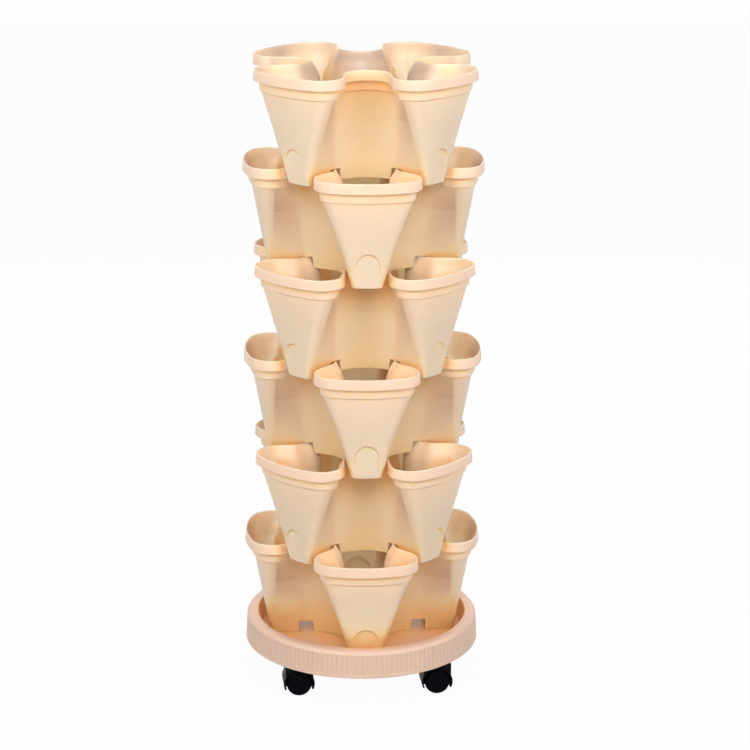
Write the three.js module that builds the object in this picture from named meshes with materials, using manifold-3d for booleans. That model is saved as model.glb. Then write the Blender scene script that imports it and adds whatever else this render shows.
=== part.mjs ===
// Vertical planter tower: a stack of four-lobed pots, each turned an eighth of a turn from
// the one below, standing in a round tray that rolls on four twin-wheel casters.
// Units are millimetres and +Z is up. The origin is on the ground, under the tower's axis.
import * as THREE from 'three';
import { mergeVertices } from 'three/addons/utils/BufferGeometryUtils.js';
import Module from 'manifold-3d';

const wasm = await Module();
wasm.setup();

// Stack
const tierCount = 6;
const potHeight = 159;
const stackOverlap = 17; // how far a pot's foot hangs below the rim that carries it
const seatGap = 0.3; // left between pieces that rest on each other
const cutOverrun = 5; // how far a cutting shape runs past the face it cuts
const weldDistance = 0.0003; // corners nearer than this are one corner

// A pot seen from above: lobes whose tips lie on a circle, and U-shaped notches between them.
// A lobe is drawn in shares of the rim's tip radius, so that a rim still passes the foot above.
const rimTipRadius = 175;
const tipDraft = 35.5; // how much nearer the axis a lobe's tip is at the foot
const rimShares = { halfWidth: 0.4343, cornerRadius: 0.1829, notchTip: 0.4343, notchRadius: 0.1829 };
const footShares = { halfWidth: 0.1314, cornerRadius: 0.1029, notchTip: 0.3257 };
const potWall = 2.5;
const rimHeight = 15.5;
const bandHeight = 15; // the second, narrower step under the rim
const bandInset = 8;
const bodyInset = 12; // the body's top, measured inward from the rim

// Openings in a pot
const floorThickness = 3;
const drainRadius = 5;
const drainInset = 39.5; // from a lobe's tip at the foot
const slotClearance = 1;
const archWidth = 36; // the arched dent at the foot of each lobe
const archHeight = 54;

// Tray, as wide as the pots
const trayRimWidth = 18.7;
const trayBasinSlope = 6; // how much narrower the basin is at its floor than at its mouth
const trayWall = 3;
const traySkirtHeight = 41;
const trayDepth = 28.3; // from the crest down to the floor
const trayShoulder = 7.5;
const trayLip = 1.2; // the bevel round the mouth
const trayTaper = 1.6; // how much narrower the skirt is at its top

// Casters
const casterInset = 30; // from the tray's edge to a stem
const casterTurn = THREE.MathUtils.degToRad(3.5); // all four trail the same way, as after a roll
const trail = 4;
const wheelRadius = 18.5;
const wheelWidth = 12.9;
const wheelEdge = 1.6;
const webThickness = 11;
const wheelGap = 0.6; // from the web to a wheel's inner face
const hoodRadius = 23;
const hoodThickness = 2.6;
const hoodWidth = 38;
const hoodBlockHalfLength = 20.5;
const hoodTop = 47;
const hoodTipHeight = 10;
const axleRadius = 3;
const axleSeatDepth = 9.5;
const journalRadius = 3.5;
const journalLength = 13.5;
const flangeRadius = 8;
const flangeThickness = 1.85;
const pinRadius = 4;
const socketWall = 6.5;
const socketRise = 8; // how far a socket stands up above the tray's floor

// Radii that follow the pots and the tray
const footTipRadius = rimTipRadius - tipDraft;
const drainPlaceRadius = footTipRadius - drainInset;
const trayRadius = rimTipRadius;
const trayMouthRadius = trayRadius - trayRimWidth;
const trayFloorRadius = trayMouthRadius - trayBasinSlope;
const casterPlaceRadius = trayRadius - casterInset;

// Levels above the ground
const flangeBase = hoodTop + seatGap;
const socketBase = flangeBase + flangeThickness + seatGap;
const skirtBase = socketBase;
const crestLevel = skirtBase + traySkirtHeight;
const trayFloorTop = crestLevel - trayDepth;
const trayFloorBase = trayFloorTop - trayWall;
const lowestPotBase = trayFloorTop + seatGap;
const slotHeight = stackOverlap + seatGap;
const tierPitch = potHeight - stackOverlap;
const potFloorTop = slotHeight + floorThickness;
const bodyTopLevel = potHeight - rimHeight - bandHeight;
const bandTopLevel = potHeight - rimHeight;

// Facets
const lobeCount = 4;
const lobeSteps = { tip: 1, corner: 3, notch: 3 };
const undersideSteps = { tip: 1, corner: 1, notch: 2 };
const archSteps = 6;
const drainSides = 6;
const traySides = 48;
const shoulderSteps = 2;
const socketSides = 12;
const wheelSides = 16;
const pinSides = 10;
const baySides = 24;
const hoodArcSteps = 5;

// Finishes
const potPlastic = new THREE.MeshStandardMaterial({ color: 0xf0dcc0, roughness: 0.42, metalness: 0 });
const trayPlastic = new THREE.MeshStandardMaterial({ color: 0xe6c5ab, roughness: 0.5, metalness: 0 });
const hoodPlastic = new THREE.MeshStandardMaterial({ color: 0x121214, roughness: 0.45, metalness: 0 });
const wheelPlastic = new THREE.MeshStandardMaterial({ color: 0x0c0c10, roughness: 0.5, metalness: 0 });
const steel = new THREE.MeshStandardMaterial({ color: 0xb4b7bb, roughness: 0.3, metalness: 1 });

// A closed three.js geometry as a solid that can be cut and joined
function solidOf(geometry) {
  const bare = geometry.clone();
  bare.deleteAttribute('normal');
  bare.deleteAttribute('uv');
  const merged = mergeVertices(bare, weldDistance);
  const vertProperties = new Float32Array(merged.attributes.position.array);
  const triVerts = new Uint32Array(merged.index.array);
  return new wasm.Manifold(new wasm.Mesh({ numProp: 3, vertProperties, triVerts }));
}

function geometryOf(solid) {
  const mesh = solid.getMesh();
  const geometry = new THREE.BufferGeometry();
  geometry.setAttribute('position', new THREE.BufferAttribute(new Float32Array(mesh.vertProperties), 3));
  geometry.setIndex(new THREE.BufferAttribute(new Uint32Array(mesh.triVerts), 1));
  return geometry;
}

// A solid through a stack of outlines that all have the same number of points.
// Each ring is { level, outline }, from the lowest to the highest, counter-clockwise from above.
function loftGeometry(rings) {
  const count = rings[0].outline.length;
  const points = rings.flatMap(({ level, outline }) => outline.flatMap((p) => [p.x, p.y, level]));
  const faces = [];
  for (let row = 0; row + 1 < rings.length; row += 1) {
    for (let i = 0; i < count; i += 1) {
      const a = row * count + i;
      const b = row * count + ((i + 1) % count);
      faces.push(a, b, b + count, a, b + count, a + count);
    }
  }
  const top = (rings.length - 1) * count;
  for (const [a, b, c] of THREE.ShapeUtils.triangulateShape(rings[0].outline, [])) {
    faces.push(a, c, b);
  }
  for (const [a, b, c] of THREE.ShapeUtils.triangulateShape(rings.at(-1).outline, [])) {
    faces.push(top + a, top + b, top + c);
  }
  const geometry = new THREE.BufferGeometry();
  geometry.setAttribute('position', new THREE.BufferAttribute(new Float32Array(points), 3));
  geometry.setIndex(faces);
  return geometry;
}

function polar(radius, angle, centre = new THREE.Vector2()) {
  return new THREE.Vector2(Math.cos(angle), Math.sin(angle)).multiplyScalar(radius).add(centre);
}

// The two circles that shape a lobe: its corner, and the notch's round end on the diagonal.
// The corner shrinks where it would meet the notch, so that a straight side stays between them.
function lobeCircles({ tipRadius, halfWidth, cornerRadius, notchTip, notchRadius }) {
  const notch = polar(notchTip + notchRadius, Math.PI / lobeCount);
  const cornerAt = (radius) => {
    const across = halfWidth - radius;
    return new THREE.Vector2(Math.sqrt((tipRadius - radius) ** 2 - across ** 2), across);
  };
  const reachShare = 0.99;
  const shrinkShare = 0.97;
  let radius = cornerRadius;
  while (radius > weldDistance && radius + notchRadius > reachShare * cornerAt(radius).distanceTo(notch)) {
    radius *= shrinkShare;
  }
  return { corner: cornerAt(radius), radius, notch };
}

// The closed outline of a pot at one level, moved inward by inset. The steps count the chords
// from the middle of a lobe's tip to its corner, round the corner, and on to the notch's middle.
function potOutline(section, inset, steps) {
  const { corner, radius, notch } = lobeCircles(section);
  const between = notch.clone().sub(corner);
  const lean = Math.acos((radius + section.notchRadius) / between.length());
  const side = between.angle() - lean;
  const half = [];
  for (let i = 0; i < steps.tip; i += 1) {
    half.push(polar(section.tipRadius - inset, (corner.angle() * i) / steps.tip));
  }
  for (let i = 0; i <= steps.corner; i += 1) {
    const angle = THREE.MathUtils.lerp(corner.angle(), side, i / steps.corner);
    half.push(polar(radius - inset, angle, corner));
  }
  const inward = Math.PI + Math.PI / lobeCount;
  for (let i = 0; i <= steps.notch; i += 1) {
    const angle = THREE.MathUtils.lerp(side + Math.PI, inward, i / steps.notch);
    half.push(polar(section.notchRadius + inset, angle, notch));
  }
  // The second half mirrors the first about the notch's diagonal
  const mirrored = half.slice(1, -1).reverse().map((p) => new THREE.Vector2(p.y, p.x));
  const quarter = [...half, ...mirrored];
  const outline = [];
  for (let lobe = 0; lobe < lobeCount; lobe += 1) {
    const turn = (lobe * 2 * Math.PI) / lobeCount;
    outline.push(...quarter.map((p) => p.clone().rotateAround(new THREE.Vector2(), turn)));
  }
  return outline;
}

const rimSection = {
  tipRadius: rimTipRadius,
  halfWidth: rimTipRadius * rimShares.halfWidth,
  cornerRadius: rimTipRadius * rimShares.cornerRadius,
  notchTip: rimTipRadius * rimShares.notchTip,
  notchRadius: rimTipRadius * rimShares.notchRadius,
};

function insetSection(section, inset) {
  return {
    tipRadius: section.tipRadius - inset,
    halfWidth: section.halfWidth - inset,
    cornerRadius: section.cornerRadius - inset,
    notchTip: section.notchTip - inset,
    notchRadius: section.notchRadius + inset,
  };
}

const bandSection = insetSection(rimSection, bandInset);
const bodySection = insetSection(rimSection, bodyInset);

// The foot is a cross of four arms whose sides run straight out, so that a notch's round end
// touches both
const footHalfWidth = rimTipRadius * footShares.halfWidth;
const footNotchTip = rimTipRadius * footShares.notchTip;
const footSection = {
  tipRadius: footTipRadius,
  halfWidth: footHalfWidth,
  cornerRadius: rimTipRadius * footShares.cornerRadius,
  notchTip: footNotchTip,
  notchRadius: (footNotchTip - footHalfWidth * Math.SQRT2) / (Math.SQRT2 - 1),
};

function bodySectionAt(level) {
  const share = level / bodyTopLevel;
  const blend = (key) => THREE.MathUtils.lerp(footSection[key], bodySection[key], share);
  return Object.fromEntries(Object.keys(footSection).map((key) => [key, blend(key)]));
}

function ring(level, section, inset = 0, steps = lobeSteps) {
  return { level, outline: potOutline(section, inset, steps) };
}

// The arched dent's cutting shape on the +X lobe. Its flat back is upright, so the dent is
// deepest at its top and runs out at the pot's foot.
function archCutter() {
  const halfWidth = archWidth / 2;
  const springing = archHeight - halfWidth;
  const shape = new THREE.Shape();
  shape.moveTo(-halfWidth, -cutOverrun);
  shape.lineTo(halfWidth, -cutOverrun);
  shape.lineTo(halfWidth, springing);
  for (let i = 1; i < archSteps; i += 1) {
    const angle = (i * Math.PI) / archSteps;
    shape.lineTo(halfWidth * Math.cos(angle), springing + halfWidth * Math.sin(angle));
  }
  shape.lineTo(-halfWidth, springing);
  const depth = tipDraft + cutOverrun;
  const geometry = new THREE.ExtrudeGeometry(shape, { depth, bevelEnabled: false });
  // The shape's x runs along Y, its y runs up, and its depth runs outward along X
  geometry.applyMatrix4(new THREE.Matrix4().makeBasis(
    new THREE.Vector3(0, 1, 0),
    new THREE.Vector3(0, 0, 1),
    new THREE.Vector3(1, 0, 0),
  ));
  geometry.translate(footTipRadius, 0, 0);
  return solidOf(geometry);
}

// The plain block that the wall keeps behind a dent, inside the pot
function archBacking() {
  const depth = tipDraft + cutOverrun;
  const height = archHeight + potWall + cutOverrun;
  const geometry = new THREE.BoxGeometry(depth, archWidth + potWall * 2, height);
  geometry.translate(footTipRadius - potWall + depth / 2, 0, height / 2 - cutOverrun);
  return solidOf(geometry);
}

// The slots in an arm's two sides, as wide as the rim below needs where it passes through
function slotCutter() {
  const { notchTip, notchRadius } = rimSection;
  const rimCentre = notchTip + notchRadius;
  const sideAtTop = bodySectionAt(slotHeight).halfWidth;
  const lipShare = (stackOverlap - rimHeight) / bandHeight;
  const lipDepth = THREE.MathUtils.lerp(bandInset, bodyInset, lipShare) + potWall;
  const outer = rimCentre - Math.sqrt(notchRadius ** 2 - sideAtTop ** 2) + slotClearance;
  const lipReach = (notchRadius + lipDepth) ** 2 - footHalfWidth ** 2;
  const inner = rimCentre - Math.sqrt(lipReach) - slotClearance;
  const across = (sideAtTop + potWall) * 2;
  const geometry = new THREE.BoxGeometry(outer - inner, across, slotHeight + cutOverrun);
  geometry.translate((outer + inner) / 2, 0, (slotHeight - cutOverrun) / 2);
  return solidOf(geometry);
}

function drainCutter() {
  const geometry = new THREE.CylinderGeometry(
    drainRadius,
    drainRadius,
    floorThickness + cutOverrun * 2,
    drainSides,
  );
  geometry.rotateX(Math.PI / 2);
  geometry.translate(drainPlaceRadius, 0, slotHeight + floorThickness / 2);
  return solidOf(geometry);
}

// The same cutter once on every lobe
function onEveryLobe(cutter) {
  return Array.from({ length: lobeCount }, (_, lobe) => cutter.rotate([0, 0, (lobe * 360) / lobeCount]));
}

function makePotSolid() {
  const outside = solidOf(loftGeometry([
    ring(0, footSection),
    ring(bodyTopLevel, bodySection),
    ring(bodyTopLevel, bandSection),
    ring(bandTopLevel, bandSection),
    ring(bandTopLevel, rimSection),
    ring(potHeight, rimSection),
  ]));
  const hollow = solidOf(loftGeometry([
    ring(potFloorTop, bodySectionAt(potFloorTop), potWall),
    ring(bodyTopLevel, bodySection, potWall),
    ring(bandTopLevel, bandSection, potWall),
    ring(potHeight, rimSection, potWall),
    ring(potHeight + cutOverrun, rimSection, potWall),
  ]));
  const underside = solidOf(loftGeometry([
    ring(-cutOverrun, bodySectionAt(-cutOverrun), potWall, undersideSteps),
    ring(slotHeight, bodySectionAt(slotHeight), potWall, undersideSteps),
  ]));
  let solid = outside;
  for (const arch of onEveryLobe(archCutter())) solid = solid.subtract(arch);
  let inside = hollow.add(underside);
  for (const backing of onEveryLobe(archBacking())) inside = inside.subtract(backing);
  solid = solid.subtract(inside);
  for (const slot of onEveryLobe(slotCutter())) solid = solid.subtract(slot);
  for (const drain of onEveryLobe(drainCutter())) solid = solid.subtract(drain);
  return solid;
}

// A round solid about the Z axis through (radius, level) points
function turned(points, sides) {
  const profile = points.map(([radius, level]) => new THREE.Vector2(radius, level));
  const geometry = new THREE.LatheGeometry(profile, sides);
  return geometry.rotateX(Math.PI / 2);
}

// Where the casters' stems stand, seen from above
const casterPlaces = [
  { name: 'front_left', angle: Math.PI * 1.25 },
  { name: 'front_right', angle: Math.PI * 1.75 },
  { name: 'rear_left', angle: Math.PI * 0.75 },
  { name: 'rear_right', angle: Math.PI * 0.25 },
];

const socketTop = trayFloorTop + socketRise;
const pinTop = socketTop - trayWall - seatGap;
const socketRadius = pinRadius + seatGap + socketWall;

// The tray's rim is an upturned U: it rises from the floor, rolls over a rounded crest and
// comes down outside as the skirt that hides the casters' sockets
function makeTraySolid() {
  const topRadius = trayRadius - trayTaper;
  const shoulder = new THREE.Vector2(topRadius - trayShoulder, crestLevel - trayShoulder);
  const crown = Array.from({ length: shoulderSteps + 1 }, (_, i) => (
    polar(trayShoulder, (i * Math.PI) / 2 / shoulderSteps, shoulder).toArray()
  ));
  const profile = [
    [0, trayFloorBase],
    [trayFloorRadius + trayWall, trayFloorBase],
    [trayMouthRadius + trayWall, crestLevel - trayWall],
    [shoulder.x, crestLevel - trayWall],
    [topRadius - trayWall, shoulder.y],
    [trayRadius - trayWall, skirtBase],
    [trayRadius, skirtBase],
    ...crown,
    [trayMouthRadius + trayLip, crestLevel],
    [trayMouthRadius, crestLevel - trayLip],
    [trayFloorRadius, trayFloorTop],
    [0, trayFloorTop],
  ];
  let solid = solidOf(turned(profile, traySides));
  const socketHeight = socketTop - socketBase;
  const socket = new THREE.CylinderGeometry(socketRadius, socketRadius, socketHeight, socketSides);
  socket.rotateX(Math.PI / 2);
  socket.translate(casterPlaceRadius, 0, socketBase + socketHeight / 2);
  const holeHeight = pinTop + seatGap - socketBase + cutOverrun;
  const holeRadius = pinRadius + seatGap;
  const hole = new THREE.CylinderGeometry(holeRadius, holeRadius, holeHeight, socketSides);
  hole.rotateX(Math.PI / 2);
  hole.translate(casterPlaceRadius, 0, socketBase - cutOverrun + holeHeight / 2);
  for (const { angle } of casterPlaces) solid = solid.add(solidOf(socket.clone().rotateZ(angle)));
  for (const { angle } of casterPlaces) solid = solid.subtract(solidOf(hole.clone().rotateZ(angle)));
  return solid;
}

// Caster pieces are built about the stem's axis, with the axle along Y and the wheels trailing to +X

// A steel stem: a pin pressed up into the tray's socket, a flange, and a journal for the hood
function makeStemGeometry() {
  const flangeTop = flangeBase + flangeThickness;
  return turned([
    [0, hoodTop - journalLength],
    [journalRadius, hoodTop - journalLength],
    [journalRadius, flangeBase],
    [flangeRadius, flangeBase],
    [flangeRadius, flangeTop],
    [pinRadius, flangeTop],
    [pinRadius, pinTop],
    [0, pinTop],
  ], pinSides);
}

// A fender over both wheels and a web between them, moulded with a block that holds the stem
function makeHoodSolid() {
  const shape = new THREE.Shape();
  const dip = wheelRadius - hoodTipHeight;
  const tipAngle = -Math.asin(dip / hoodRadius);
  const blockAngle = Math.acos(hoodBlockHalfLength / hoodRadius);
  const arc = (from, to) => Array.from({ length: hoodArcSteps + 1 }, (_, i) => (
    polar(hoodRadius, THREE.MathUtils.lerp(from, to, i / hoodArcSteps))
  ));
  const blockTop = hoodTop - wheelRadius;
  const outline = [
    ...arc(tipAngle, blockAngle),
    new THREE.Vector2(hoodBlockHalfLength, blockTop),
    new THREE.Vector2(-hoodBlockHalfLength, blockTop),
    ...arc(Math.PI - blockAngle, Math.PI - tipAngle),
  ];
  shape.setFromPoints(outline);
  const block = new THREE.ExtrudeGeometry(shape, { depth: hoodWidth, bevelEnabled: false });
  block.translate(0, 0, -hoodWidth / 2);
  block.rotateX(Math.PI / 2);
  block.translate(trail, 0, wheelRadius);
  let solid = solidOf(block);
  const bayDepth = hoodWidth / 2 - webThickness / 2 + cutOverrun;
  const bayRadius = hoodRadius - hoodThickness;
  for (const side of [-1, 1]) {
    const bay = new THREE.CylinderGeometry(bayRadius, bayRadius, bayDepth, baySides);
    bay.translate(trail, side * (webThickness / 2 + bayDepth / 2), wheelRadius);
    solid = solid.subtract(solidOf(bay));
  }
  const axleHoleRadius = axleRadius + seatGap;
  const axleHole = new THREE.CylinderGeometry(axleHoleRadius, axleHoleRadius, hoodWidth, pinSides);
  axleHole.translate(trail, 0, wheelRadius);
  solid = solid.subtract(solidOf(axleHole));
  const holeRadius = journalRadius + seatGap;
  const holeHeight = journalLength + seatGap + cutOverrun;
  const stemHole = new THREE.CylinderGeometry(holeRadius, holeRadius, holeHeight, pinSides);
  stemHole.rotateX(Math.PI / 2);
  stemHole.translate(0, 0, hoodTop - journalLength - seatGap + holeHeight / 2);
  return solid.subtract(solidOf(stemHole));
}

// A wheel on its axle's end. side is -1 for the front wheel and 1 for the rear one.
// A flat of its tread faces the ground, so its corners stand a little further out than its flats.
function makeWheelGeometry(side) {
  const corner = 1 / Math.cos(Math.PI / wheelSides);
  const boreRadius = axleRadius + seatGap;
  const boreDepth = axleSeatDepth + seatGap;
  const tread = wheelRadius * corner;
  const geometry = turned([
    [0, 0],
    [tread - wheelEdge, 0],
    [tread, wheelEdge],
    [tread, wheelWidth],
    [boreRadius, wheelWidth],
    [boreRadius, wheelWidth - boreDepth],
    [0, wheelWidth - boreDepth],
  ], wheelSides);
  // A half facet's turn puts a flat at the bottom, then the axis is laid along Y
  geometry.rotateZ(Math.PI / wheelSides);
  geometry.rotateX((side * Math.PI) / 2);
  const outerFace = webThickness / 2 + wheelGap + wheelWidth;
  geometry.translate(trail, side * outerFace, wheelRadius);
  return geometry;
}

function makeAxleGeometry() {
  const length = webThickness + 2 * (wheelGap + axleSeatDepth);
  const geometry = new THREE.CylinderGeometry(axleRadius, axleRadius, length, pinSides);
  geometry.translate(trail, 0, wheelRadius);
  return geometry;
}

const tower = new THREE.Group();

function addPiece(parent, name, geometry, material) {
  const mesh = new THREE.Mesh(geometry, material.clone());
  mesh.name = name;
  parent.add(mesh);
}

addPiece(tower, 'tray', geometryOf(makeTraySolid()), trayPlastic);

const potGeometry = geometryOf(makePotSolid());
for (let tier = 0; tier < tierCount; tier += 1) {
  const place = new THREE.Group();
  place.position.z = lowestPotBase + tier * tierPitch;
  place.rotation.z = (tier % 2) * (Math.PI / lobeCount);
  addPiece(place, `pot_${tier + 1}`, potGeometry, potPlastic);
  tower.add(place);
}

for (const { name, angle } of casterPlaces) {
  const place = new THREE.Group();
  const centre = polar(casterPlaceRadius, angle);
  place.position.set(centre.x, centre.y, 0);
  place.rotation.z = casterTurn;
  addPiece(place, `caster_${name}_stem`, makeStemGeometry(), steel);
  addPiece(place, `caster_${name}_hood`, geometryOf(makeHoodSolid()), hoodPlastic);
  addPiece(place, `caster_${name}_axle`, makeAxleGeometry(), steel);
  addPiece(place, `caster_${name}_wheel_front`, makeWheelGeometry(-1), wheelPlastic);
  addPiece(place, `caster_${name}_wheel_rear`, makeWheelGeometry(1), wheelPlastic);
  tower.add(place);
}

export default tower;
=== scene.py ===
import math

import bpy
from mathutils import Matrix, Vector


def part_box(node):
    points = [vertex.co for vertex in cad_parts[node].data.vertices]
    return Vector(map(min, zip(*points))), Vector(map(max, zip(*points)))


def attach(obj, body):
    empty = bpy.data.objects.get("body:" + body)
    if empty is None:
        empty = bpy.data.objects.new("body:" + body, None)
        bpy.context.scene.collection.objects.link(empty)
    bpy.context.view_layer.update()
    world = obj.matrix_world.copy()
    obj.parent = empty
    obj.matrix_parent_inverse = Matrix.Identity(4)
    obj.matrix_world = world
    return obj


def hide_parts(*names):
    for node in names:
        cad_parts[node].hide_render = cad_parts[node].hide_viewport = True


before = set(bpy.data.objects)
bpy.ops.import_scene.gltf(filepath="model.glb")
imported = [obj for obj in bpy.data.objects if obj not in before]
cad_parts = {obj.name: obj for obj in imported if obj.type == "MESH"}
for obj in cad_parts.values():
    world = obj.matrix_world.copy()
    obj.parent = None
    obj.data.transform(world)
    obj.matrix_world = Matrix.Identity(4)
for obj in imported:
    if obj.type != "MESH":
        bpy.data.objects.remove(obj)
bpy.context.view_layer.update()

MM = 0.001

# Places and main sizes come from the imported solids
POTS = ["pot_1", "pot_2", "pot_3", "pot_4", "pot_5", "pot_6"]
CASTERS = ["front_left", "front_right", "rear_left", "rear_right"]
pot_low, pot_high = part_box("pot_1")
tray_low, tray_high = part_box("tray")
TIP_RADIUS = pot_high.x / MM
POT_HEIGHT = (pot_high.z - pot_low.z) / MM
POT_PITCH = (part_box("pot_2")[0].z - pot_low.z) / MM
SEAT_GAP = 0.3
EIGHTH_TURN = math.pi / 4

# A pot, in millimetres above its own foot, and inward from its own rim
WALL = 2.5
RIM_HEIGHT = 15.5
BAND_HEIGHT = 15.0
RIM_FLARE = 0.4
BAND_INSET = 7.3
BAND_DRAFT = 1.6
BODY_INSET = 12.3
FLOOR_UNDERSIDE = POT_HEIGHT - POT_PITCH + SEAT_GAP
FLOOR_THICKNESS = 3.0
FLOOR_FILLET = 3.0
PARTING_DEPTH = 68.5
PARTING_STEP = 0.3
ARCH_WIDTH = 33.0
ARCH_HEIGHT = 49.5
ARCH_LEAN = 0.1
ARCH_FLARE = 36.0
ARCH_REACH = 48.0
SLOT_FOOT_FROM = 71.8
SLOT_TOP_FROM = 75.0
SLOT_TO = 95.5
DRAIN_RADIUS = 5.0
DRAIN_PLACE = 100.0
CUT_OVERRUN = 5.0
ARCH_STEPS = 24
DRAIN_STEPS = 24

# (level, inset) of the foot's rounded edge, and the levels at which the walls are drawn
FOOT_EDGE = ((0.0, 0.5), (0.25, 0.12), (0.6, 0.0))
LOWER_BODY_LEVELS = (8, 16, 24, 32, 40, 48, 58, 68, 78, 88)
UPPER_BODY_LEVELS = (106, 116, 124)
CAVITY_LEVELS = (32, 48, 64, 80, 96, 112, 122)

# Lobe shapes: tip radius, half width, corner radius, the notch's inner end and the notch's radius
RIM = {"tip": TIP_RADIUS, "half": 76.3, "corner": 34.0, "notch_tip": 76.2, "notch": 31.0}
BODY = {
    "tip": TIP_RADIUS - BODY_INSET,
    "half": RIM["half"] - BODY_INSET,
    "corner": 18.0,
    "notch_tip": RIM["notch_tip"] - BODY_INSET,
    "notch": RIM["notch"] + BODY_INSET,
}
FOOT_HALF = 22.3
FOOT_NOTCH_TIP = 57.0
FOOT = {
    "tip": TIP_RADIUS - 35.5,
    "half": FOOT_HALF,
    "corner": 9.0,
    "notch_tip": FOOT_NOTCH_TIP,
    "notch": (FOOT_NOTCH_TIP - FOOT_HALF * math.sqrt(2)) / (math.sqrt(2) - 1),
}
SIDE_BOW = 0.2

RIM_BASE = POT_HEIGHT - RIM_HEIGHT
BAND_BASE = RIM_BASE - BAND_HEIGHT

# Outline steps: half a lobe's tip, its corner, and half a notch
TIP_STEPS = 6
CORNER_STEPS = 9
NOTCH_STEPS = 11


def polar(radius, angle, centre=(0.0, 0.0)):
    return (centre[0] + radius * math.cos(angle), centre[1] + radius * math.sin(angle))


def lerp(a, b, share):
    return a + (b - a) * share


def lobe_outline(shape, inset=0.0):
    """The closed four-lobed outline, moved inward by inset."""
    across = shape["half"] - shape["corner"]
    corner = (math.sqrt((shape["tip"] - shape["corner"]) ** 2 - across**2), across)
    notch = polar(shape["notch_tip"] + shape["notch"], EIGHTH_TURN)
    gap_x, gap_y = notch[0] - corner[0], notch[1] - corner[1]
    lean = math.acos((shape["corner"] + shape["notch"]) / math.hypot(gap_x, gap_y))
    side = math.atan2(gap_y, gap_x) - lean
    first = math.atan2(corner[1], corner[0])
    half = [polar(shape["tip"] - inset, first * i / TIP_STEPS) for i in range(TIP_STEPS)]
    for i in range(CORNER_STEPS + 1):
        half.append(polar(shape["corner"] - inset, lerp(first, side, i / CORNER_STEPS), corner))
    for i in range(NOTCH_STEPS + 1):
        angle = lerp(side + math.pi, math.pi + EIGHTH_TURN, i / NOTCH_STEPS)
        half.append(polar(shape["notch"] + inset, angle, notch))
    quarter = half + [(y, x) for x, y in reversed(half[1:-1])]
    outline = []
    for lobe in range(4):
        c, s = math.cos(lobe * math.pi / 2), math.sin(lobe * math.pi / 2)
        outline += [(x * c - y * s, x * s + y * c) for x, y in quarter]
    return outline


def body_shape(level):
    """The pot's section at a level of its tapering body. The sides bow in a little."""
    share = level / BAND_BASE
    shape = {key: lerp(FOOT[key], BODY[key], share) for key in FOOT}
    shape["half"] -= SIDE_BOW * share * (1 - share) * (BODY["half"] - FOOT["half"])
    return shape


def mesh_object(name, points, faces):
    mesh = bpy.data.meshes.new(name)
    mesh.from_pydata([Vector(p) * MM for p in points], [], faces)
    mesh.validate()
    obj = bpy.data.objects.new(name, mesh)
    bpy.context.scene.collection.objects.link(obj)
    return obj


def loft(name, rows):
    """A closed solid through rows of (level, shape, inset), from the lowest up."""
    outlines = [(level, lobe_outline(shape, inset)) for level, shape, inset in rows]
    count = len(outlines[0][1])
    points = [(x, y, level) for level, outline in outlines for x, y in outline]
    faces = [tuple(reversed(range(count)))]
    for row in range(len(rows) - 1):
        for i in range(count):
            a, b = row * count + i, row * count + (i + 1) % count
            faces.append((a, b, b + count, a + count))
    faces.append(tuple(range((len(rows) - 1) * count, len(rows) * count)))
    return mesh_object(name, points, faces)


def prism(name, outline, low, high):
    """A closed solid of a flat outline between two levels."""
    count = len(outline)
    points = [(x, y, low) for x, y in outline] + [(x, y, high) for x, y in outline]
    faces = [tuple(reversed(range(count))), tuple(range(count, 2 * count))]
    faces += [(i, (i + 1) % count, (i + 1) % count + count, i + count) for i in range(count)]
    return mesh_object(name, points, faces)


def upright(obj):
    """Turns a prism drawn in x and z, with its depth along Z, to stand along Y."""
    obj.data.transform(Matrix(((1, 0, 0, 0), (0, 0, -1, 0), (0, 1, 0, 0), (0, 0, 0, 1))))
    return obj


def circle(radius, steps, centre=(0.0, 0.0)):
    return [polar(radius, 2 * math.pi * i / steps, centre) for i in range(steps)]


def turned_copies(obj, count):
    """One object made of count copies of obj about the Z axis."""
    base = obj.data.copy()
    points = [v.co.copy() for v in base.vertices]
    faces = [tuple(p.vertices) for p in base.polygons]
    all_points, all_faces = [], []
    for i in range(count):
        turn = Matrix.Rotation(2 * math.pi * i / count, 3, "Z")
        start = len(all_points)
        all_points += [turn @ p for p in points]
        all_faces += [tuple(v + start for v in face) for face in faces]
    obj.data.clear_geometry()
    obj.data.from_pydata(all_points, [], all_faces)
    bpy.data.meshes.remove(base)
    return obj


def boolean(obj, tool, operation):
    """Cuts obj with tool, or joins them, and removes the tool."""
    modifier = obj.modifiers.new("boolean", "BOOLEAN")
    modifier.operation = operation
    modifier.solver = "MANIFOLD"
    modifier.object = tool
    bake(obj)
    bpy.data.objects.remove(tool)
    return obj


def bake(obj):
    """Applies obj's modifiers to its mesh."""
    depsgraph = bpy.context.evaluated_depsgraph_get()
    mesh = bpy.data.meshes.new_from_object(obj.evaluated_get(depsgraph))
    obj.modifiers.clear()
    obj.data = mesh


def smooth(obj, angle=32.0):
    obj.data.shade_smooth()
    obj.data.set_sharp_from_angle(angle=math.radians(angle))
    modifier = obj.modifiers.new("normals", "WEIGHTED_NORMAL")
    modifier.keep_sharp = True
    bake(obj)


def rounded(level, inset, rise, run, steps=4, convex=True):
    """Levels and insets of a quarter round from (level, inset), rising and moving by run."""
    rows = []
    for i in range(steps + 1):
        angle = math.pi / 2 * i / steps
        if convex:
            rows.append((level + rise * math.sin(angle), inset + run * (1 - math.cos(angle))))
        else:
            rows.append((level + rise * (1 - math.cos(angle)), inset + run * math.sin(angle)))
    return rows


# Materials

# How deep light runs in the cream plastic, how far off a hollow's walls count for the painted light
# and shade, and the band in which the inside's painted light and shade passes into the outside's
GLOW_DEPTH = 0.009
GLOW_RADIUS = (1.0, 0.8, 0.7)
HOLLOW_REACH = 0.07
HOLLOW_SAMPLES = 8
FACING_BLEND = 0.015

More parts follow.
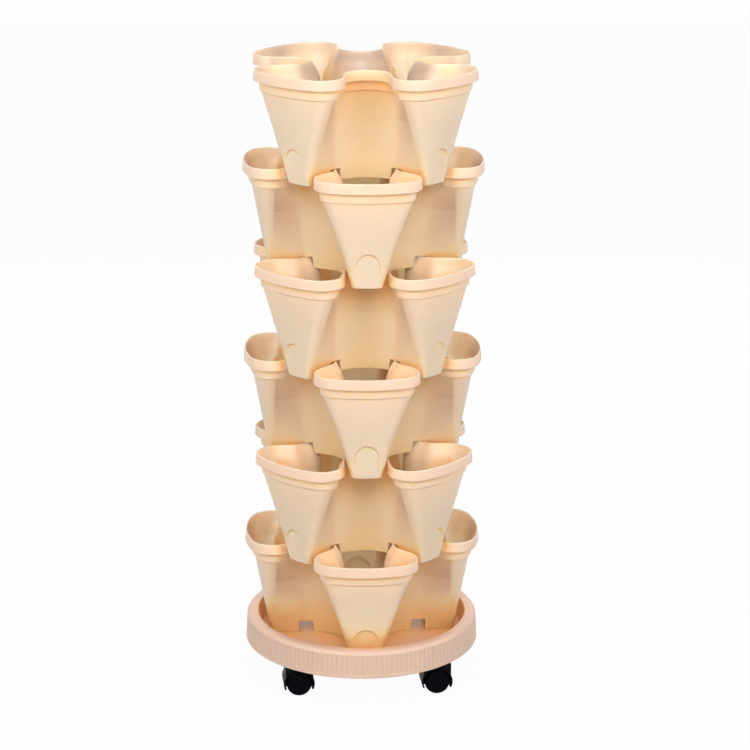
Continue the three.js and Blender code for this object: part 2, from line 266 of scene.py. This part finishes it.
# Noise scales per metre, and bump heights in metres
FLOW_SCALE = 9.0
SINK_SCALE = 26.0
SINK_STRENGTH = 0.25
SINK_HEIGHT = 0.0006
GRAIN_SCALE = 1400.0
GRAIN_HEIGHT = 0.00008
STEEL_SCALE = 160.0
GLOSS_SPREAD = 0.05

STEEL_COLORS = ((0.50, 0.51, 0.53), (0.64, 0.64, 0.63))
STEEL_ROUGHNESS = (0.26, 0.42)


def new_material(name):
    """A node material with its nodes, links and shader."""
    material = bpy.data.materials.new(name)
    material.use_nodes = True
    nodes, links = material.node_tree.nodes, material.node_tree.links
    return material, nodes, links, nodes["Principled BSDF"]


def noise(nodes, links, place, scale, detail):
    """A noise pattern that is fixed to the piece."""
    pattern = nodes.new("ShaderNodeTexNoise")
    pattern.inputs["Scale"].default_value = scale
    pattern.inputs["Detail"].default_value = detail
    links.new(place.outputs["Object"], pattern.inputs["Vector"])
    return pattern.outputs["Fac"]


def two_colors(nodes, links, share, first, second):
    """A colour that goes from first to second with share."""
    mix = nodes.new("ShaderNodeMix")
    mix.data_type = "RGBA"
    mix.inputs["A"].default_value = (*first, 1)
    mix.inputs["B"].default_value = (*second, 1)
    links.new(share, mix.inputs["Factor"])
    return mix.outputs["Result"]


def spread(nodes, links, value, low, high):
    """The value's range from 0 to 1 laid over low to high."""
    reach = nodes.new("ShaderNodeMapRange")
    reach.inputs["To Min"].default_value = low
    reach.inputs["To Max"].default_value = high
    links.new(value, reach.inputs["Value"])
    return reach.outputs["Result"]


def bumped(nodes, links, height, strength, distance, under=None):
    """A bumped normal, on top of another one where under is given."""
    bump = nodes.new("ShaderNodeBump")
    bump.inputs["Strength"].default_value = strength
    bump.inputs["Distance"].default_value = distance
    links.new(height, bump.inputs["Height"])
    if under:
        links.new(under, bump.inputs["Normal"])
    return bump.outputs["Normal"]


def seen_directly(nodes, links):
    """1 for rays from the camera, from a reflection or through glass, and 0 for light's own."""
    path = nodes.new("ShaderNodeLightPath")
    seen = path.outputs["Is Camera Ray"]
    for ray in ("Is Glossy Ray", "Is Transmission Ray"):
        either = nodes.new("ShaderNodeMath")
        either.operation = "MAXIMUM"
        links.new(seen, either.inputs[0])
        links.new(path.outputs[ray], either.inputs[1])
        seen = either.outputs[0]
    return seen


def painted_light_ramp(nodes, links, openness, stops):
    """Painted light and shade from (openness, color) stops."""
    ramp = nodes.new("ShaderNodeValToRGB")
    elements = ramp.color_ramp.elements
    while len(elements) < len(stops):
        elements.new(0.5)
    for element, (place, color) in zip(elements, stops):
        element.position = place
        element.color = (*color, 1)
    links.new(openness, ramp.inputs["Fac"])
    return ramp.outputs["Color"]


def painted_hollow_light(nodes, links, place, colored, outside_painted_stops, inside_painted_stops):
    """Paints light and shade into a colour: multiplies it by a factor for how open a place is,
    with other stops where the surface faces the piece's axis."""
    # Painted light and shade: how open a place is, from ambient occlusion, picks the colour's factor
    occlusion = nodes.new("ShaderNodeAmbientOcclusion")
    occlusion.samples = HOLLOW_SAMPLES
    occlusion.inputs["Distance"].default_value = HOLLOW_REACH
    openness = occlusion.outputs["AO"]
    level = nodes.new("ShaderNodeVectorMath")
    level.operation = "MULTIPLY"
    level.inputs[1].default_value = (1, 1, 0)
    links.new(place.outputs["Object"], level.inputs[0])
    outward = nodes.new("ShaderNodeVectorMath")
    outward.operation = "DOT_PRODUCT"
    links.new(level.outputs["Vector"], outward.inputs[0])
    links.new(place.outputs["Normal"], outward.inputs[1])
    facing = nodes.new("ShaderNodeMapRange")
    facing.inputs["From Min"].default_value = FACING_BLEND
    facing.inputs["From Max"].default_value = -FACING_BLEND
    links.new(outward.outputs["Value"], facing.inputs["Value"])
    sides = nodes.new("ShaderNodeMix")
    sides.data_type = "RGBA"
    links.new(facing.outputs["Result"], sides.inputs["Factor"])
    links.new(painted_light_ramp(nodes, links, openness, outside_painted_stops), sides.inputs["A"])
    links.new(painted_light_ramp(nodes, links, openness, inside_painted_stops), sides.inputs["B"])
    blend = nodes.new("ShaderNodeMix")
    blend.data_type = "RGBA"
    blend.blend_type = "MULTIPLY"
    blend.inputs["Factor"].default_value = 1.0
    links.new(colored, blend.inputs["A"])
    links.new(sides.outputs["Result"], blend.inputs["B"])
    return blend.outputs["Result"]


def plastic(name, color, roughness, grain, wear, gloss_level=0.5, glow=0.0, painted_light_stops=()):
    """Moulded plastic: a fine spark-eroded grain, slow flow marks and a little uneven gloss.

    The stops given for hollows paint light and shade into the colour by how open a place is: painted
    warm shade and painted bounce light in hollows."""
    material, nodes, links, shader = new_material(name)
    shader.inputs["Specular IOR Level"].default_value = gloss_level
    place = nodes.new("ShaderNodeTexCoord")
    flow = noise(nodes, links, place, FLOW_SCALE, 3.0)
    colored = two_colors(nodes, links, flow, color, [c * (1 - wear) for c in color])
    # Painted light and shade in hollows, multiplied into the base colour
    if painted_light_stops:
        colored = painted_hollow_light(nodes, links, place, colored, *painted_light_stops)
    links.new(colored, shader.inputs["Base Color"])
    gloss = spread(nodes, links, flow, roughness - GLOSS_SPREAD, roughness + GLOSS_SPREAD)
    links.new(gloss, shader.inputs["Roughness"])
    fine = noise(nodes, links, place, GRAIN_SCALE, 2.0)
    waves = noise(nodes, links, place, SINK_SCALE, 1.0)
    sink = bumped(nodes, links, waves, SINK_STRENGTH, SINK_HEIGHT)
    links.new(bumped(nodes, links, fine, grain, GRAIN_HEIGHT, sink), shader.inputs["Normal"])
    if glow:
        shader.inputs["Subsurface Weight"].default_value = glow
        shader.inputs["Subsurface Radius"].default_value = GLOW_RADIUS
        shader.inputs["Subsurface Scale"].default_value = GLOW_DEPTH
    return material


def plated_steel():
    material, nodes, links, shader = new_material("zinc_plated_steel")
    shader.inputs["Metallic"].default_value = 1.0
    place = nodes.new("ShaderNodeTexCoord")
    cloud = noise(nodes, links, place, STEEL_SCALE, 4.0)
    links.new(two_colors(nodes, links, cloud, *STEEL_COLORS), shader.inputs["Base Color"])
    links.new(spread(nodes, links, cloud, *STEEL_ROUGHNESS), shader.inputs["Roughness"])
    return material


POT_COLOR = (0.86, 0.66, 0.515)
TRAY_COLOR = (0.74, 0.51, 0.40)
HOOD_COLOR = (0.003, 0.003, 0.003)
WHEEL_COLOR = (0.002, 0.002, 0.004)

# Painted light and shade, from the deepest hollow to the open face: how open a place is, and the
# colour's factor. Outside, hollows get painted warm shade and painted bounce light; inside, deep
# pockets get a painted glow and the open inner rim painted shade; the tray's basin gets painted orange
# bounce light.
POT_OUTSIDE_PAINTED_LIGHT = (
    (0.60, (0.96, 0.74, 0.42)),
    (0.80, (1.12, 0.98, 0.70)),
    (0.90, (1.10, 1.07, 1.0)),
    (0.97, (0.96, 0.95, 0.94)),
)
POT_INSIDE_PAINTED_LIGHT = (
    (0.50, (1.26, 1.24, 1.28)),
    (0.75, (1.08, 1.10, 1.02)),
    (0.88, (0.90, 0.86, 0.76)),
    (0.96, (0.66, 0.64, 0.62)),
)
TRAY_PAINTED_LIGHT = ((0.45, (1.12, 0.90, 0.52)), (0.80, (1.0, 1.0, 1.0)))

# Each plastic's roughness, grain and wear
# The cream and pinkish plastics carry painted light and shade in their hollows through the stops above
pot_plastic = plastic(
    "cream_moulded_plastic", POT_COLOR, 0.42, 0.2, 0.03,
    gloss_level=0.9, glow=1.0, painted_light_stops=(POT_OUTSIDE_PAINTED_LIGHT, POT_INSIDE_PAINTED_LIGHT),
)
tray_plastic = plastic(
    "pinkish_moulded_plastic", TRAY_COLOR, 0.48, 0.25, 0.04,
    gloss_level=0.7, glow=0.8, painted_light_stops=(TRAY_PAINTED_LIGHT, TRAY_PAINTED_LIGHT),
)
hood_plastic = plastic("black_hood_plastic", HOOD_COLOR, 0.42, 0.5, 0.2, gloss_level=0.05)
wheel_plastic = plastic("black_wheel_plastic", WHEEL_COLOR, 0.36, 0.3, 0.2, gloss_level=0.03)
steel = plated_steel()


def dress(obj, node, body, material):
    """Gives a finished piece its material, and lets it stand for a CAD node."""
    obj.data.materials.clear()
    obj.data.materials.append(material)
    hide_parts(node)
    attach(obj, body)
    return obj


# Pots


def rim_rows(levels):
    """Rows of the rim's own outline from (level, inset) pairs."""
    return [(level, RIM, inset) for level, inset in levels]


def body_rows(levels):
    """Rows of the body's outline from (level, inset) pairs."""
    return [(level, body_shape(level), inset) for level, inset in levels]


def pot_outside():
    parting = POT_HEIGHT - PARTING_DEPTH
    rows = body_rows(FOOT_EDGE)
    rows += body_rows([(level, 0.0) for level in LOWER_BODY_LEVELS])
    rows += body_rows([(parting - 0.2, 0.0), (parting + 0.1, -PARTING_STEP)])
    rows += body_rows([(level, -PARTING_STEP) for level in (*UPPER_BODY_LEVELS, BAND_BASE - 0.9)])
    band_low = BAND_INSET + BAND_DRAFT
    levels = [(BAND_BASE, band_low + 0.9)]
    levels += rounded(BAND_BASE + 0.1, band_low + 0.6, 0.9, -0.6, convex=False)
    levels += [(RIM_BASE - 3, BAND_INSET + BAND_DRAFT * 0.3), (RIM_BASE - 0.9, BAND_INSET)]
    levels += rounded(RIM_BASE - 0.7, BAND_INSET, 0.7, -1.0)[1:]
    levels += [(RIM_BASE, 0.8)]
    levels += rounded(RIM_BASE + 0.05, 0.6, 0.9, -0.6 - RIM_FLARE, convex=False)
    levels += [(RIM_BASE + RIM_HEIGHT * 0.5, 0.1), (POT_HEIGHT - 1.6, RIM_FLARE)]
    levels += rounded(POT_HEIGHT - 1.3, RIM_FLARE + 0.02, 1.3, 1.1)[1:]
    return loft("pot_outside", rows + rim_rows(levels))


def pot_cavity():
    floor = FLOOR_UNDERSIDE + FLOOR_THICKNESS
    fillet = rounded(floor, WALL + FLOOR_FILLET, FLOOR_FILLET, -FLOOR_FILLET, convex=False)
    rows = body_rows(fillet)
    rows += body_rows([(level, WALL) for level in CAVITY_LEVELS])
    levels = [(BAND_BASE, BODY_INSET + WALL), (BAND_BASE + 7, BODY_INSET + 0.7)]
    levels += [(RIM_BASE, BAND_INSET + 3.2), (RIM_BASE + 6, WALL + 4.7), (POT_HEIGHT - 4, WALL + 1.2)]
    levels += [(POT_HEIGHT - 1.4, WALL)]
    levels += rounded(POT_HEIGHT - 1.2, WALL, 1.2, -0.9)[1:]
    levels += [(POT_HEIGHT + CUT_OVERRUN, WALL - 1.0)]
    return loft("pot_cavity", rows + rim_rows(levels))


def pot_underside():
    rows = [(-CUT_OVERRUN, body_shape(0.0), WALL), (0.0, body_shape(0.0), WALL)]
    rows += [(FLOOR_UNDERSIDE, body_shape(FLOOR_UNDERSIDE), WALL)]
    return loft("pot_underside", rows)


def arch_outline(grow):
    """A dent's outline across a lobe and up it, as it is at the dent's back."""
    half = ARCH_WIDTH / 2 + grow
    rise = ARCH_HEIGHT - ARCH_WIDTH / 2
    outline = [(-half, -CUT_OVERRUN), (half, -CUT_OVERRUN)]
    steps = range(ARCH_STEPS + 1)
    outline += [polar(half, math.pi * i / ARCH_STEPS, (0.0, rise)) for i in steps]
    return outline


def arches(grow):
    """The arched dents of all four lobes, or with grow the same dents outside a wall.

    A dent's back leans outward a little, and its sides open towards the lobe's face."""
    back = arch_outline(grow)
    mouth = arch_outline(grow + ARCH_FLARE)
    count = len(back)
    foot = FOOT["tip"] - grow
    points = [(foot + ARCH_LEAN * max(z, 0.0), y, z) for y, z in back]
    points += [(foot + ARCH_LEAN * max(z, 0.0) + ARCH_REACH, y, z) for y, z in mouth]
    faces = [tuple(reversed(range(count))), tuple(range(count, 2 * count))]
    faces += [(i, (i + 1) % count, (i + 1) % count + count, i + count) for i in range(count)]
    return turned_copies(mesh_object("arch", points, faces), 4)


def make_pot():
    pot = boolean(pot_outside(), arches(0.0), "DIFFERENCE")
    cavity = boolean(pot_cavity(), arches(WALL), "DIFFERENCE")
    underside = boolean(pot_underside(), arches(WALL), "DIFFERENCE")
    pot = boolean(pot, cavity, "DIFFERENCE")
    pot = boolean(pot, underside, "DIFFERENCE")
    reach = body_shape(FLOOR_UNDERSIDE)["half"] + WALL
    lean = (SLOT_TOP_FROM - SLOT_FOOT_FROM) / FLOOR_UNDERSIDE
    sides = [(SLOT_FOOT_FROM - lean * CUT_OVERRUN, -CUT_OVERRUN), (SLOT_TO, -CUT_OVERRUN)]
    sides += [(SLOT_TO, FLOOR_UNDERSIDE), (SLOT_TOP_FROM, FLOOR_UNDERSIDE)]
    slots = upright(prism("slots", sides, -reach, reach))
    pot = boolean(pot, turned_copies(slots, 4), "DIFFERENCE")
    drain = circle(DRAIN_RADIUS, DRAIN_STEPS, (DRAIN_PLACE, 0.0))
    drains = prism("drains", drain, 0.0, FLOOR_UNDERSIDE + FLOOR_THICKNESS + CUT_OVERRUN)
    pot = boolean(pot, turned_copies(drains, 4), "DIFFERENCE")
    smooth(pot)
    return pot


def place_pots():
    first = make_pot()
    turned = first.data.copy()
    turned.transform(Matrix.Rotation(EIGHTH_TURN, 4, "Z"))
    # The turn is in the mesh, so that a turned pot's box is its true one
    for tier, node in enumerate(POTS):
        mesh = turned if tier % 2 else first.data
        piece = first if tier == 0 else bpy.data.objects.new(f"{node}_shell", mesh)
        if tier:
            bpy.context.scene.collection.objects.link(piece)
        piece.name = f"{node}_shell"
        piece.location.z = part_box(node)[0].z
        dress(piece, node, node, pot_plastic)


place_pots()


# Tray, in millimetres above the ground and from the tower's axis

FLUTE_COUNT = 144
FLUTE_STEPS = 6
FLUTE_DEPTH = 0.9
SKIRT_BASE = tray_low.z / MM
CREST = tray_high.z / MM
TRAY_RADIUS = tray_high.x / MM
TRAY_TAPER = 1.6
TRAY_WALL = 3.0
SHOULDER = 7.5
LIP = 1.6
MOUTH = TRAY_RADIUS - 18.7
BASIN = MOUTH - 6.0
BASIN_DEPTH = 28.3
FLUTE_LOW = SKIRT_BASE + 4.0
FLUTE_HIGH = CREST - 5.2
FLUTE_FADE = 1.4
FLUTE_FADE_LEVELS = (0, 0.35, 0.7, 1.05, FLUTE_FADE)
FLUTE_SHARPNESS = 1.4
SKIRT_SHARES = (0.2, 0.4, 0.6, 0.8)


def flute_depth(level):
    """How deep the flutes are at a level of the skirt."""
    low = min(max((level - FLUTE_LOW) / FLUTE_FADE, 0.0), 1.0)
    high = min(max((FLUTE_HIGH - level) / FLUTE_FADE, 0.0), 1.0)
    share = min(low, high)
    return FLUTE_DEPTH * share * share * (3 - 2 * share)


def tray_profile():
    """(radius, level, flute depth) from the floor's underside out, up and back to its top."""
    top_radius = TRAY_RADIUS - TRAY_TAPER
    floor_top = CREST - BASIN_DEPTH
    floor_base = floor_top - TRAY_WALL
    inner_x, inner_y = top_radius - SHOULDER, CREST - SHOULDER
    profile = [(BASIN + TRAY_WALL - 0.8, floor_base, 0), (BASIN + TRAY_WALL, floor_base + 0.8, 0)]
    inner_wall, under_crest = MOUTH + TRAY_WALL, CREST - TRAY_WALL
    profile += [(inner_wall, under_crest - 0.5, 0), (inner_wall + 0.5, under_crest, 0)]
    for i in range(5):
        radius, level = polar(SHOULDER - TRAY_WALL, math.pi / 2 * (1 - i / 4), (inner_x, inner_y))
        profile.append((radius, level, 0))
    skirt_inside = TRAY_RADIUS - TRAY_WALL
    profile += [(skirt_inside, SKIRT_BASE + 0.3, 0), (skirt_inside + 0.3, SKIRT_BASE, 0)]
    profile += [(TRAY_RADIUS - 0.7, SKIRT_BASE, 0), (TRAY_RADIUS - 0.2, SKIRT_BASE + 0.2, 0)]
    profile += [(TRAY_RADIUS, SKIRT_BASE + 0.8, 0)]
    skirt_rows = [FLUTE_LOW + step for step in FLUTE_FADE_LEVELS]
    skirt_rows += [lerp(FLUTE_LOW, FLUTE_HIGH, share) for share in SKIRT_SHARES]
    skirt_rows += [FLUTE_HIGH - step for step in reversed(FLUTE_FADE_LEVELS)]
    for level in skirt_rows:
        profile.append((skirt_radius(level), level, flute_depth(level)))
    for i in range(9):
        angle = math.pi / 2 * i / 8
        radius, level = polar(SHOULDER, angle, (inner_x, inner_y))
        if level > FLUTE_HIGH + 0.3:
            profile.append((radius, level, 0))
    profile += [(MOUTH + LIP, CREST, 0)]
    for i in range(1, 5):
        radius, level = polar(LIP, math.pi / 2 * (1 + i / 4), (MOUTH + LIP, CREST - LIP))
        profile.append((radius, level, 0))
    profile += [(BASIN + 1.0, floor_top + 2.4, 0), (BASIN + 0.2, floor_top + 0.9, 0)]
    profile += [(BASIN - 1.2, floor_top, 0)]
    return profile


def skirt_radius(level):
    """The skirt's radius before its flutes: a straight taper, then the shoulder's round."""
    top_radius = TRAY_RADIUS - TRAY_TAPER
    shoulder_level = CREST - SHOULDER
    if level <= shoulder_level:
        return lerp(TRAY_RADIUS, top_radius, (level - SKIRT_BASE) / (shoulder_level - SKIRT_BASE))
    return top_radius - SHOULDER + math.sqrt(SHOULDER**2 - (level - shoulder_level) ** 2)


def lathe(name, profile, steps, wave=None):
    """A closed solid about the Z axis. The profile runs outward, up and back, and both of its
    ends are closed with flat discs. wave(angle) is the share of a row's own depth taken off."""
    points, faces = [], []
    for radius, level, depth in profile:
        for i in range(steps):
            angle = 2 * math.pi * i / steps
            cut = depth * wave(angle) if wave and depth else 0.0
            points.append((*polar(radius - cut, angle), level))
    for row in range(len(profile) - 1):
        for i in range(steps):
            a, b = row * steps + i, row * steps + (i + 1) % steps
            faces.append((a, b, b + steps, a + steps))
    faces.append(tuple(reversed(range(steps))))
    faces.append(tuple(range((len(profile) - 1) * steps, len(profile) * steps)))
    return mesh_object(name, points, faces)


def flute_wave(angle):
    return (0.5 + 0.5 * math.cos(FLUTE_COUNT * angle)) ** FLUTE_SHARPNESS


SOCKET_RADIUS = 10.8
SOCKET_HOLE = 4.3
SOCKET_RISE = 8.0
SOCKET_EDGE = 1.2
SOCKET_STEPS = 48
BORE_STEPS = 32


def stem_place(name):
    """A caster stem's place, in millimetres."""
    low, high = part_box(f"caster_{name}_stem")
    return ((low.x + high.x) / 2 / MM, (low.y + high.y) / 2 / MM)


def make_tray():
    tray = lathe("tray_shell", tray_profile(), FLUTE_COUNT * FLUTE_STEPS, flute_wave)
    socket_top = CREST - BASIN_DEPTH + SOCKET_RISE
    rows = [(SOCKET_RADIUS, SKIRT_BASE, 0)]
    for level, inset in rounded(socket_top - SOCKET_EDGE, 0.0, SOCKET_EDGE, SOCKET_EDGE):
        rows.append((SOCKET_RADIUS - inset, level, 0))
    for name in CASTERS:
        centre = stem_place(name)
        boss = lathe("socket", rows, SOCKET_STEPS)
        boss.data.transform(Matrix.Translation(Vector((*centre, 0)) * MM))
        tray = boolean(tray, boss, "UNION")
        mouth = circle(SOCKET_HOLE, BORE_STEPS, centre)
        hole = prism("hole", mouth, SKIRT_BASE - CUT_OVERRUN, socket_top - TRAY_WALL)
        tray = boolean(tray, hole, "DIFFERENCE")
    smooth(tray)
    dress(tray, "tray", "base", tray_plastic)


make_tray()


# Casters, in millimetres about the stem's axis, with the axle along Y and the wheels trailing to +X

CASTER_TURN = math.radians(3.5)
TRAIL = 4.0
WHEEL_RADIUS = 18.5
WHEEL_WIDTH = 12.9
WEB = 11.0
WHEEL_GAP = 0.6
HOOD_RADIUS = 23.0
HOOD_THICKNESS = 2.6
HOOD_WIDTH = 38.0
HOOD_BLOCK_HALF = 20.5
HOOD_TOP = 47.0
HOOD_TIP_LEVEL = 10.0
AXLE_BORE = 3.3
STEM_BORE = 3.8
STEM_DEPTH = 13.8
HOOD_STEPS = 14
HOOD_EDGE = 0.7
ROUND_STEPS = 96
STEM_STEPS = 48


def hood_arc(first, last, centre):
    """Points of the fender's outside between two angles."""
    shares = [i / HOOD_STEPS for i in range(HOOD_STEPS + 1)]
    return [polar(HOOD_RADIUS, lerp(first, last, share), centre) for share in shares]


def make_hood():
    centre = (TRAIL, WHEEL_RADIUS)
    tip = -math.asin((WHEEL_RADIUS - HOOD_TIP_LEVEL) / HOOD_RADIUS)
    block = math.acos(HOOD_BLOCK_HALF / HOOD_RADIUS)
    outline = hood_arc(tip, block, centre)
    outline += [(TRAIL + HOOD_BLOCK_HALF, HOOD_TOP), (TRAIL - HOOD_BLOCK_HALF, HOOD_TOP)]
    outline += hood_arc(math.pi - block, math.pi - tip, centre)
    hood = upright(prism("hood", outline, -HOOD_WIDTH / 2, HOOD_WIDTH / 2))
    bay = circle(HOOD_RADIUS - HOOD_THICKNESS, ROUND_STEPS, centre)
    for low, high in ((-HOOD_WIDTH, -WEB / 2), (WEB / 2, HOOD_WIDTH)):
        hood = boolean(hood, upright(prism("bay", bay, low, high)), "DIFFERENCE")
    bore = circle(STEM_BORE, BORE_STEPS)
    bore = prism("bore", bore, HOOD_TOP - STEM_DEPTH, HOOD_TOP + CUT_OVERRUN)
    hood = boolean(hood, bore, "DIFFERENCE")
    axle = circle(AXLE_BORE, BORE_STEPS, centre)
    axle = upright(prism("axle_bore", axle, -HOOD_WIDTH, HOOD_WIDTH))
    hood = boolean(hood, axle, "DIFFERENCE")
    bevel = hood.modifiers.new("edges", "BEVEL")
    bevel.width = HOOD_EDGE * MM
    bevel.segments = 3
    bevel.angle_limit = math.radians(40)
    bake(hood)
    smooth(hood)
    return hood


def make_wheel():
    """A wheel about the Z axis, with its outer face at the origin's level and facing down."""
    outer = [
        (AXLE_BORE, WHEEL_WIDTH - 9.8, 0),
        (AXLE_BORE, WHEEL_WIDTH, 0),
    ]
    tread = [
        (WHEEL_RADIUS - 1.2, WHEEL_WIDTH, 0),
        (WHEEL_RADIUS - 0.35, WHEEL_WIDTH - 0.35, 0),
        (WHEEL_RADIUS, WHEEL_WIDTH - 1.2, 0),
        (WHEEL_RADIUS, 2.4, 0),
        (WHEEL_RADIUS - 0.25, 1.4, 0),
        (WHEEL_RADIUS - 0.9, 0.6, 0),
        (WHEEL_RADIUS - 1.9, 0.25, 0),
        (WHEEL_RADIUS - 3.4, 0.2, 0),
        (WHEEL_RADIUS - 3.8, 0.55, 0),
        (WHEEL_RADIUS - 4.3, 0.55, 0),
        (WHEEL_RADIUS - 4.7, 0.2, 0),
        (WHEEL_RADIUS * 0.5, 0.02, 0),
        (WHEEL_RADIUS * 0.2, 0.0, 0),
    ]
    wheel = lathe("wheel", list(reversed(outer + tread)), ROUND_STEPS)
    smooth(wheel)
    return wheel


def make_stem():
    flange = HOOD_TOP + SEAT_GAP
    pin_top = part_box(f"caster_{CASTERS[0]}_stem")[1].z / MM
    profile = [
        (2.9, HOOD_TOP - 13.5, 0),
        (3.5, HOOD_TOP - 12.9, 0),
        (3.5, flange, 0),
        (7.7, flange, 0),
        (8.0, flange + 0.3, 0),
        (8.0, flange + 1.55, 0),
        (7.7, flange + 1.85, 0),
        (4.0, flange + 1.85, 0),
        (4.0, pin_top - 0.8, 0),
        (3.2, pin_top, 0),
    ]
    stem = lathe("stem", profile, STEM_STEPS)
    smooth(stem)
    return stem


def place_casters():
    hood, wheel, stem = make_hood(), make_wheel(), make_stem()
    outer_face = WEB / 2 + WHEEL_GAP + WHEEL_WIDTH
    for name in CASTERS:
        x, y = stem_place(name)
        place = Matrix.Translation(Vector((x, y, 0)) * MM) @ Matrix.Rotation(CASTER_TURN, 4, "Z")
        parts = [
            (hood, "hood", f"caster_{name}", hood_plastic, "hood_plastic", Matrix.Identity(4)),
            (stem, "stem", "base", steel, "steel", Matrix.Identity(4)),
        ]
        for side, label in ((-1, "front"), (1, "rear")):
            turn = Matrix.Rotation(side * math.pi / 2, 4, "X")
            shift = Matrix.Translation(Vector((TRAIL, side * outer_face, WHEEL_RADIUS)) * MM)
            wheel_body = f"{name}_wheel_{label}"
            placed = shift @ turn
            parts.append((wheel, f"wheel_{label}", wheel_body, wheel_plastic, "wheel_plastic", placed))
        for source, label, body, material, slot, local in parts:
            piece = bpy.data.objects.new(f"caster_{name}_{label}_shell", source.data)
            bpy.context.scene.collection.objects.link(piece)
            piece.matrix_world = place @ local
            dress(piece, f"caster_{name}_{label}", body, material)
        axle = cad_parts[f"caster_{name}_axle"]
        axle.data.materials.clear()
        axle.data.materials.append(steel)
    for source in (hood, wheel, stem):
        bpy.data.objects.remove(source)


place_casters()


# Stage, lights and camera

FLOOR_SIZE = 12.0
FLOOR_COLOR = (0.42, 0.41, 0.4)
FLOOR_ROUGHNESS = 0.9

# How much of the floor is plain white where it is looked at directly. The rest keeps the shadow.
FLOOR_WHITE_SHARE = 0.93
FLOOR_WHITE = 1.03
BACKGROUND_WHITE = 0.985

ROOM_LEVEL_LIGHT = 0.95
ROOM_OVERHEAD_LIGHT = 0.1
ROOM_COLOR = (1.0, 0.985, 0.97)

# Each lamp's place, target, width and height in metres, watts and colour
LAMPS = {
    "left": ((-2.1, -2.1, 1.9), (0, 0, 0.85), (1.2, 1.6), 36, (1.0, 0.975, 0.94)),
    "right": ((2.1, -2.1, 1.9), (0, 0, 0.85), (1.2, 1.6), 33, (1.0, 0.98, 0.98)),
    "front": ((0, -2.7, 2.2), (0, 0, 0.9), (1.0, 1.0), 40, (1.0, 0.985, 0.97)),
    "back": ((0, 2.2, 1.1), (0, 0, 0.35), (2.4, 1.4), 16, (1.0, 1.0, 1.0)),
}


def make_floor():
    bpy.ops.mesh.primitive_plane_add(size=FLOOR_SIZE)
    floor = bpy.context.active_object
    floor.name = "floor"
    material, nodes, links, shader = new_material("white_floor")
    shader.inputs["Base Color"].default_value = (*FLOOR_COLOR, 1)
    shader.inputs["Roughness"].default_value = FLOOR_ROUGHNESS
    white = nodes.new("ShaderNodeEmission")
    white.inputs["Strength"].default_value = FLOOR_WHITE
    part = nodes.new("ShaderNodeMath")
    part.operation = "MULTIPLY"
    part.inputs[1].default_value = FLOOR_WHITE_SHARE
    links.new(seen_directly(nodes, links), part.inputs[0])
    mix = nodes.new("ShaderNodeMixShader")
    links.new(part.outputs[0], mix.inputs["Fac"])
    links.new(shader.outputs["BSDF"], mix.inputs[1])
    links.new(white.outputs["Emission"], mix.inputs[2])
    links.new(mix.outputs["Shader"], nodes["Material Output"].inputs["Surface"])
    floor.data.materials.append(material)


def make_world():
    """A white room that lights the tower more from the sides than from above."""
    world = bpy.data.worlds.new("studio")
    bpy.context.scene.world = world
    world.use_nodes = True
    nodes, links = world.node_tree.nodes, world.node_tree.links
    nodes.clear()
    out = nodes.new("ShaderNodeOutputWorld")
    room = nodes.new("ShaderNodeBackground")
    room.inputs["Color"].default_value = (*ROOM_COLOR, 1)
    direction = nodes.new("ShaderNodeTexCoord")
    parts = nodes.new("ShaderNodeSeparateXYZ")
    links.new(direction.outputs["Generated"], parts.inputs["Vector"])
    fade = spread(nodes, links, parts.outputs["Z"], ROOM_LEVEL_LIGHT, ROOM_OVERHEAD_LIGHT)
    links.new(fade, room.inputs["Strength"])
    white = nodes.new("ShaderNodeBackground")
    white.inputs["Color"].default_value = (1, 1, 1, 1)
    white.inputs["Strength"].default_value = BACKGROUND_WHITE
    mix = nodes.new("ShaderNodeMixShader")
    links.new(seen_directly(nodes, links), mix.inputs["Fac"])
    links.new(room.outputs["Background"], mix.inputs[1])
    links.new(white.outputs["Background"], mix.inputs[2])
    links.new(mix.outputs["Shader"], out.inputs["Surface"])


def area_light(name, place, target, size, power, color):
    data = bpy.data.lights.new(name, "AREA")
    data.shape = "RECTANGLE"
    data.size, data.size_y = size
    data.energy = power
    data.color = color
    light = bpy.data.objects.new(name, data)
    light.location = place
    light.rotation_euler = (Vector(target) - Vector(place)).to_track_quat("-Z", "Y").to_euler()
    bpy.context.scene.collection.objects.link(light)


# Angles in radians, places in metres and the lens in millimetres
CAMERA_TURN = 0.05299
CAMERA_TILT = 0.28156
CAMERA_ROLL = 0.00598
CAMERA_SIDE = 0.01805
CAMERA_BACK = 3.65167
CAMERA_HEIGHT = pot_high.z + 1.36449
CAMERA_LENS = 123.744
CAMERA_SHIFT = -0.06


def make_camera():
    """The photograph's camera: turned a little about the tower, tilted down and rolled."""
    ct, st = math.cos(CAMERA_TURN), math.sin(CAMERA_TURN)
    level_right = Vector((ct, -st, 0))
    level_ahead = Vector((st, ct, 0))
    ahead = level_ahead * math.cos(CAMERA_TILT) - Vector((0, 0, math.sin(CAMERA_TILT)))
    level_up = level_ahead * math.sin(CAMERA_TILT) + Vector((0, 0, math.cos(CAMERA_TILT)))
    cr, sr = math.cos(CAMERA_ROLL), math.sin(CAMERA_ROLL)
    right = level_right * cr + level_up * sr
    up = level_up * cr - level_right * sr
    turn = Matrix((right, up, -ahead)).transposed().to_4x4()
    place = level_right * CAMERA_SIDE - level_ahead * CAMERA_BACK + Vector((0, 0, CAMERA_HEIGHT))
    data = bpy.data.cameras.new("camera")
    data.lens = CAMERA_LENS
    data.shift_y = CAMERA_SHIFT
    camera = bpy.data.objects.new("camera", data)
    camera.matrix_world = Matrix.Translation(place) @ turn
    bpy.context.scene.collection.objects.link(camera)
    bpy.context.scene.camera = camera


make_floor()
make_world()
for lamp, values in LAMPS.items():
    area_light(lamp, *values)
make_camera()
bpy.context.scene.view_settings.view_transform = "Standard"
